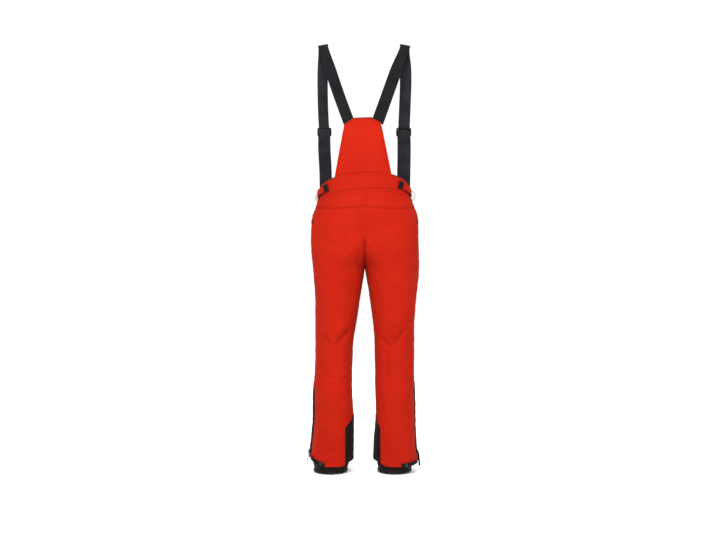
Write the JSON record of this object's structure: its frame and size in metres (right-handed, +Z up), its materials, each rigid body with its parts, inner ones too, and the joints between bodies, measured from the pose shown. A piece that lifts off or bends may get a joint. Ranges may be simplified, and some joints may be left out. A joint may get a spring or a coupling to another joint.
{
  "type": "ski bib trousers",
  "caption": "Red ski trousers with a rear bib, black elastic braces, side waist tabs, ankle scuff guards and inner snow gaiters; hip and knee bend, zips and tabs open.",
  "frame": {"origin": "on the ground plane of the gaiters' lower edges, at the middle of the whole garment", "axes": "+Z up towards the shoulders, the wearer faces -Y, and +X is the wearer's left"},
  "size_m": [0.427, 0.2528, 1.6452],
  "materials": {
    "red_shell": "matt woven shell fabric",
    "black_webbing": "ribbed elastic webbing",
    "moulded_black": "satin moulded plastic",
    "scuff_fabric": "coarse abrasion-proof weave",
    "gaiter_fabric": "thin coated lining",
    "zip_tape": "zip tape with a nylon coil",
    "zip_metal": "lacquered slider",
    "snap_metal": "dark press stud",
    "hook_patch": "hook-and-loop pile"
  },
  "bodies": {
    "root": {"left_front_panel": "red_shell", "right_front_panel": "red_shell", "left_seat_panel": "red_shell", "right_seat_panel": "red_shell", "rear_yoke": "red_shell", "waistband_rear": "red_shell", "left_waistband_front": "red_shell", "right_waistband_front": "red_shell", "left_hip_section": "red_shell", "right_hip_section": "red_shell", "rear_bib": "red_shell", "fly_zip": "zip_tape", "press_studs": "snap_metal", "pocket_zips": "zip_tape", "tab_patches": "hook_patch", "side_loops": "black_webbing"},
    "fly_slider": {"fly_slider": "zip_metal"},
    "fly_pull": {"fly_pull": "zip_metal"},
    "closure_tab": {"closure_tab": "red_shell", "closure_snap_caps": "snap_metal"},
    "left_thigh": {"left_thigh": "red_shell", "left_knee_section": "red_shell"},
    "left_shin": {"left_shin": "red_shell", "left_scuff_guard": "scuff_fabric", "left_gaiter": "gaiter_fabric", "left_lace_hook": "snap_metal", "left_leg_zip": "zip_tape", "left_hem_snap_stud": "snap_metal"},
    "left_leg_slider": {"left_leg_zip_slider": "zip_metal"},
    "left_leg_pull": {"left_leg_zip_pull": "zip_metal"},
    "left_hem_tab": {"left_hem_tab": "black_webbing", "left_hem_snap_cap": "snap_metal"},
    "left_back_strap": {"left_back_strap": "black_webbing"},
    "left_front_strap": {"left_front_strap": "black_webbing", "left_brace_snap_cap": "snap_metal"},
    "left_strap_slider": {"left_strap_slider": "moulded_black"},
    "left_waist_tab": {"left_waist_tab": "red_shell", "left_waist_tab_grip": "moulded_black"},
    "left_pocket_slider": {"left_pocket_slider": "zip_metal"},
    "left_pocket_pull": {"left_pocket_pull": "zip_metal"},
    "right_thigh": {"right_thigh": "red_shell", "right_knee_section": "red_shell"},
    "right_shin": {"right_shin": "red_shell", "right_scuff_guard": "scuff_fabric", "right_gaiter": "gaiter_fabric", "right_lace_hook": "snap_metal", "right_leg_zip": "zip_tape", "right_hem_snap_stud": "snap_metal"},
    "right_leg_slider": {"right_leg_zip_slider": "zip_metal"},
    "right_leg_pull": {"right_leg_zip_pull": "zip_metal"},
    "right_hem_tab": {"right_hem_tab": "black_webbing", "right_hem_snap_cap": "snap_metal"},
    "right_back_strap": {"right_back_strap": "black_webbing"},
    "right_front_strap": {"right_front_strap": "black_webbing", "right_brace_snap_cap": "snap_metal"},
    "right_strap_slider": {"right_strap_slider": "moulded_black"},
    "right_waist_tab": {"right_waist_tab": "red_shell", "right_waist_tab_grip": "moulded_black"},
    "right_pocket_slider": {"right_pocket_slider": "zip_metal"},
    "right_pocket_pull": {"right_pocket_pull": "zip_metal"}
  },
  "joints": [
    {"name": "left_hip", "type": "hinge", "parent": "root", "child": "left_thigh", "pos_m": [0.103, 0, 0.887], "axis": [-1, 0, 0], "range_deg": [-15, 75], "deforming": ["left_hip_section"]},
    {"name": "left_knee", "type": "hinge", "parent": "left_thigh", "child": "left_shin", "pos_m": [0.116, -0.02, 0.474], "axis": [1, 0, 0], "range_deg": [0, 90], "deforming": ["left_knee_section"]},
    {"name": "left_leg_zip_travel", "type": "slide", "parent": "left_shin", "child": "left_leg_slider", "axis": [-0.0373, 0, 0.9993], "range_m": [0, 0.245]},
    {"name": "left_leg_pull_swing", "type": "hinge", "parent": "left_leg_slider", "child": "left_leg_pull", "pos_m": [0.21063, 0, 0.0769], "axis": [0, -1, 0], "range_deg": [0, 100]},
    {"name": "left_pocket_travel", "type": "slide", "parent": "root", "child": "left_pocket_slider", "axis": [0.0567, 0.706, -0.706], "range_m": [0, 0.062]},
    {"name": "left_pocket_pull_swing", "type": "hinge", "parent": "left_pocket_slider", "child": "left_pocket_pull", "pos_m": [0.19616, -0.01564, 1.00164], "axis": [0, -0.7071, -0.7071], "range_deg": [0, 100]},
    {"name": "left_hem_tab_peel", "type": "hinge", "parent": "left_shin", "child": "left_hem_tab", "pos_m": [0.2, 0.0334, 0.045], "axis": [0, 0, -1], "range_deg": [0, 80]},
    {"name": "left_waist_tab_peel", "type": "hinge", "parent": "root", "child": "left_waist_tab", "pos_m": [0.1818, 0.008, 1.052], "axis": [0, 0, -1], "range_deg": [0, 75]},
    {"name": "left_brace_drop", "type": "hinge", "parent": "root", "child": "left_back_strap", "pos_m": [0.051, 0.0975, 1.332], "axis": [-0.8473, 0.0397, 0.5296], "range_deg": [0, 100]},
    {"name": "left_brace_fold", "type": "hinge", "parent": "left_back_strap", "child": "left_front_strap", "pos_m": [0.155, -0.0042, 1.6355], "axis": [-1, 0, 0], "range_deg": [0, 90]},
    {"name": "left_strap_slider_travel", "type": "slide", "parent": "left_front_strap", "child": "left_strap_slider", "axis": [-0.0064, -0.1395, -0.9902], "range_m": [-0.12, 0.12]},
    {"name": "right_hip", "type": "hinge", "parent": "root", "child": "right_thigh", "pos_m": [-0.103, 0, 0.887], "axis": [-1, 0, 0], "range_deg": [-15, 75], "deforming": ["right_hip_section"]},
    {"name": "right_knee", "type": "hinge", "parent": "right_thigh", "child": "right_shin", "pos_m": [-0.116, -0.02, 0.474], "axis": [1, 0, 0], "range_deg": [0, 90], "deforming": ["right_knee_section"]},
    {"name": "right_leg_zip_travel", "type": "slide", "parent": "right_shin", "child": "right_leg_slider", "axis": [0.0373, 0, 0.9993], "range_m": [0, 0.245]},
    {"name": "right_leg_pull_swing", "type": "hinge", "parent": "right_leg_slider", "child": "right_leg_pull", "pos_m": [-0.21063, 0, 0.0769], "axis": [0, 1, 0], "range_deg": [0, 100]},
    {"name": "right_pocket_travel", "type": "slide", "parent": "root", "child": "right_pocket_slider", "axis": [-0.0567, 0.706, -0.706], "range_m": [0, 0.062]},
    {"name": "right_pocket_pull_swing", "type": "hinge", "parent": "right_pocket_slider", "child": "right_pocket_pull", "pos_m": [-0.19616, -0.01564, 1.00164], "axis": [0, 0.7071, 0.7071], "range_deg": [0, 100]},
    {"name": "right_hem_tab_peel", "type": "hinge", "parent": "right_shin", "child": "right_hem_tab", "pos_m": [-0.2, 0.0334, 0.045], "axis": [0, 0, 1], "range_deg": [0, 80]},
    {"name": "right_waist_tab_peel", "type": "hinge", "parent": "root", "child": "right_waist_tab", "pos_m": [-0.1818, 0.008, 1.052], "axis": [0, 0, 1], "range_deg": [0, 75]},
    {"name": "right_brace_drop", "type": "hinge", "parent": "root", "child": "right_back_strap", "pos_m": [-0.051, 0.0975, 1.332], "axis": [-0.8473, -0.0397, -0.5296], "range_deg": [0, 100]},
    {"name": "right_brace_fold", "type": "hinge", "parent": "right_back_strap", "child": "right_front_strap", "pos_m": [-0.155, -0.0042, 1.6355], "axis": [-1, 0, 0], "range_deg": [0, 90]},
    {"name": "right_strap_slider_travel", "type": "slide", "parent": "right_front_strap", "child": "right_strap_slider", "axis": [0.0064, -0.1395, -0.9902], "range_m": [-0.12, 0.12]},
    {"name": "fly_travel", "type": "slide", "parent": "root", "child": "fly_slider", "axis": [0, 0, -1], "range_m": [0, 0.088]},
    {"name": "fly_pull_swing", "type": "hinge", "parent": "fly_slider", "child": "fly_pull", "pos_m": [0, -0.1242, 0.9475], "axis": [-1, 0, 0], "range_deg": [0, 100]},
    {"name": "closure_tab_peel", "type": "hinge", "parent": "root", "child": "closure_tab", "pos_m": [0.034, -0.1174, 0.992], "axis": [0, 0, 1], "range_deg": [0, 120]}
  ]
}
